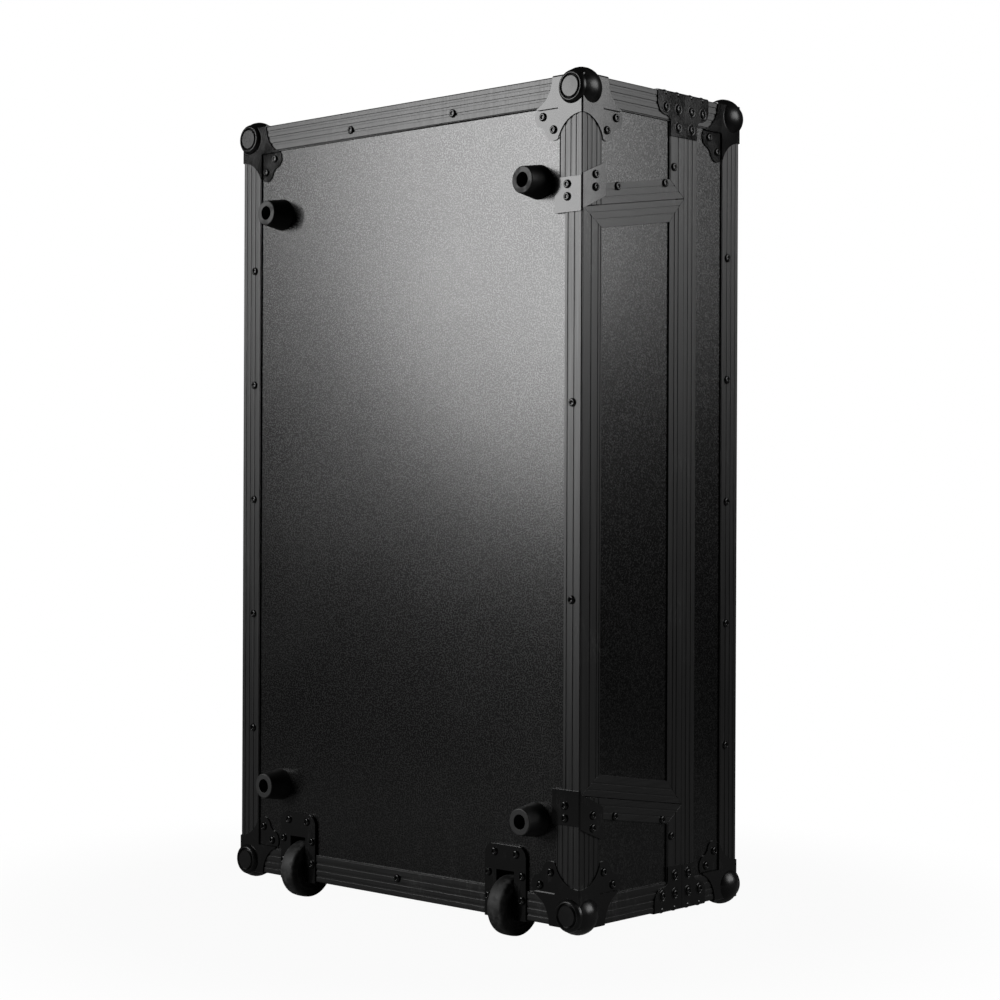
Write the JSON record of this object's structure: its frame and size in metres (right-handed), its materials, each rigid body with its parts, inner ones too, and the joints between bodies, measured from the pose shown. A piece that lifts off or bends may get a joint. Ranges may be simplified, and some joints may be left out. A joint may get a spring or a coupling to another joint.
{
  "type": "flight case",
  "caption": "Black laminate flight case with extruded edges, ball corners, rubber feet, end wheels, recessed handles and twist latches, a lift-off lid and a removable front panel.",
  "frame": {"origin": "centre of the bounding box's bottom, where the wheels meet the floor when the case stands on its wheel end", "axes": "+Z along the case's length, from the wheel end to the top end; +Y from the bottom face with its feet to the lid; +X to the long side with the removable front panel"},
  "size_m": [0.5218, 0.2858, 0.8689],
  "materials": {
    "laminate": "fine-grained black laminate over plywood",
    "extrusion": "satin black ribbed extrusion",
    "steel_plate": "satin black powder coat",
    "rivet_steel": "semi-gloss black",
    "zinc_steel": "zinc-plated steel",
    "foot_rubber": "matte black rubber",
    "wheel_tyre": "worn, dusty black rubber",
    "wheel_hub": "matte black plastic",
    "foam": "dark grey closed-cell foam"
  },
  "bodies": {
    "base": {"bottom_board": "laminate", "rear_board": "laminate", "top_end_board": "laminate", "wheel_end_board": "laminate", "cheek_boards": "laminate", "bottom_edge_extrusions": "extrusion", "base_corner_posts": "extrusion", "base_rim_extrusions": "extrusion", "opening_frame_strips": "extrusion", "sill_strip": "extrusion", "opening_brackets": "steel_plate", "base_corner_braces": "steel_plate", "base_ball_corners": "steel_plate", "rubber_feet": "foot_rubber", "foot_screws": "zinc_steel", "wheel_housings": "steel_plate", "wheel_axles": "zinc_steel", "base_rivets": "rivet_steel", "handle_dishes": "steel_plate", "handle_pins": "zinc_steel", "latch_dishes": "steel_plate", "base_floor_foam": "foam", "base_wall_foam": "foam"},
    "lid": {"lid_top_board": "laminate", "lid_rear_board": "laminate", "lid_front_board": "laminate", "lid_end_boards": "laminate", "lid_edge_extrusions": "extrusion", "lid_corner_posts": "extrusion", "lid_rim_extrusions": "extrusion", "lid_corner_braces": "steel_plate", "lid_ball_corners": "steel_plate", "lid_rivets": "rivet_steel", "keeper_dishes": "steel_plate", "lid_foam": "foam"},
    "front_panel": {"front_panel_board": "laminate", "front_panel_strips": "extrusion", "front_panel_foam": "foam"},
    "rear_wheel": {"rear_wheel_hub": "wheel_hub", "rear_wheel_tyre": "wheel_tyre"},
    "front_wheel": {"front_wheel_hub": "wheel_hub", "front_wheel_tyre": "wheel_tyre"},
    "top_handle": {"top_handle_bar": "steel_plate", "top_handle_grip": "foot_rubber"},
    "wheel_end_handle": {"wheel_end_handle_bar": "steel_plate", "wheel_end_handle_grip": "foot_rubber"},
    "top_rear_spindle": {"top_rear_spindle": "zinc_steel"},
    "top_rear_wing": {"top_rear_wing": "steel_plate"},
    "top_rear_hook": {"top_rear_hook": "zinc_steel"},
    "top_front_spindle": {"top_front_spindle": "zinc_steel"},
    "top_front_wing": {"top_front_wing": "steel_plate"},
    "top_front_hook": {"top_front_hook": "zinc_steel"},
    "low_rear_spindle": {"low_rear_spindle": "zinc_steel"},
    "low_rear_wing": {"low_rear_wing": "steel_plate"},
    "low_rear_hook": {"low_rear_hook": "zinc_steel"},
    "low_front_spindle": {"low_front_spindle": "zinc_steel"},
    "low_front_wing": {"low_front_wing": "steel_plate"},
    "low_front_hook": {"low_front_hook": "zinc_steel"}
  },
  "joints": [
    {"name": "lid_lift", "type": "slide", "parent": "base", "child": "lid", "axis": [0, 1, 0], "range_m": [0, 0.3]},
    {"name": "front_panel_lift", "type": "slide", "parent": "base", "child": "front_panel", "axis": [0, 1, 0], "range_m": [0, 0.15]},
    {"name": "rear_wheel_spin", "type": "hinge", "parent": "base", "child": "rear_wheel", "pos_m": [-0.1555, -0.1082, 0.031], "axis": [1, 0, 0], "continuous": true},
    {"name": "front_wheel_spin", "type": "hinge", "parent": "base", "child": "front_wheel", "pos_m": [0.1555, -0.1082, 0.031], "axis": [1, 0, 0], "continuous": true},
    {"name": "top_handle_hinge", "type": "hinge", "parent": "base", "child": "top_handle", "pos_m": [0, -0.0093, 0.8499], "axis": [-1, 0, 0], "range_deg": [0, 90], "stiffness_Nm_per_rad": 0.4, "springref_deg": -57.3},
    {"name": "wheel_end_handle_hinge", "type": "hinge", "parent": "base", "child": "wheel_end_handle", "pos_m": [0, -0.0093, 0.0309], "axis": [1, 0, 0], "range_deg": [0, 90], "stiffness_Nm_per_rad": 0.4, "springref_deg": -57.3},
    {"name": "top_rear_turn", "type": "hinge", "parent": "base", "child": "top_rear_spindle", "pos_m": [-0.142, 0.0123, 0.8604], "axis": [0, 0, 1], "range_deg": [0, 180]},
    {"name": "top_rear_fold", "type": "hinge", "parent": "top_rear_spindle", "child": "top_rear_wing", "pos_m": [-0.142, 0.0123, 0.8582], "axis": [-1, 0, 0], "range_deg": [0, 90], "stiffness_Nm_per_rad": 0.004, "springref_deg": -57.3},
    {"name": "top_rear_draw", "type": "slide", "parent": "base", "child": "top_rear_hook", "axis": [0, -0.9285, -0.3714], "range_m": [0, 0.0087]},
    {"name": "top_front_turn", "type": "hinge", "parent": "base", "child": "top_front_spindle", "pos_m": [0.142, 0.0123, 0.8604], "axis": [0, 0, 1], "range_deg": [0, 180]},
    {"name": "top_front_fold", "type": "hinge", "parent": "top_front_spindle", "child": "top_front_wing", "pos_m": [0.142, 0.0123, 0.8582], "axis": [-1, 0, 0], "range_deg": [0, 90], "stiffness_Nm_per_rad": 0.004, "springref_deg": -57.3},
    {"name": "top_front_draw", "type": "slide", "parent": "base", "child": "top_front_hook", "axis": [0, -0.9285, -0.3714], "range_m": [0, 0.0087]},
    {"name": "low_rear_turn", "type": "hinge", "parent": "base", "child": "low_rear_spindle", "pos_m": [-0.142, 0.0123, 0.0204], "axis": [0, 0, -1], "range_deg": [0, 180]},
    {"name": "low_rear_fold", "type": "hinge", "parent": "low_rear_spindle", "child": "low_rear_wing", "pos_m": [-0.142, 0.0123, 0.0226], "axis": [1, 0, 0], "range_deg": [0, 90], "stiffness_Nm_per_rad": 0.004, "springref_deg": -57.3},
    {"name": "low_rear_draw", "type": "slide", "parent": "base", "child": "low_rear_hook", "axis": [0, -0.9285, 0.3714], "range_m": [0, 0.0087]},
    {"name": "low_front_turn", "type": "hinge", "parent": "base", "child": "low_front_spindle", "pos_m": [0.142, 0.0123, 0.0204], "axis": [0, 0, -1], "range_deg": [0, 180]},
    {"name": "low_front_fold", "type": "hinge", "parent": "low_front_spindle", "child": "low_front_wing", "pos_m": [0.142, 0.0123, 0.0226], "axis": [1, 0, 0], "range_deg": [0, 90], "stiffness_Nm_per_rad": 0.004, "springref_deg": -57.3},
    {"name": "low_front_draw", "type": "slide", "parent": "base", "child": "low_front_hook", "axis": [0, -0.9285, 0.3714], "range_m": [0, 0.0087]}
  ],
  "couplings": [
    {"joint": "front_panel_lift", "follows": "lid_lift", "ratio": 0.5},
    {"joint": "top_rear_draw", "follows": "top_rear_turn", "m_per_rad": 0.0027426},
    {"joint": "top_front_draw", "follows": "top_front_turn", "m_per_rad": 0.0027426},
    {"joint": "low_rear_draw", "follows": "low_rear_turn", "m_per_rad": 0.0027426},
    {"joint": "low_front_draw", "follows": "low_front_turn", "m_per_rad": 0.0027426}
  ]
}
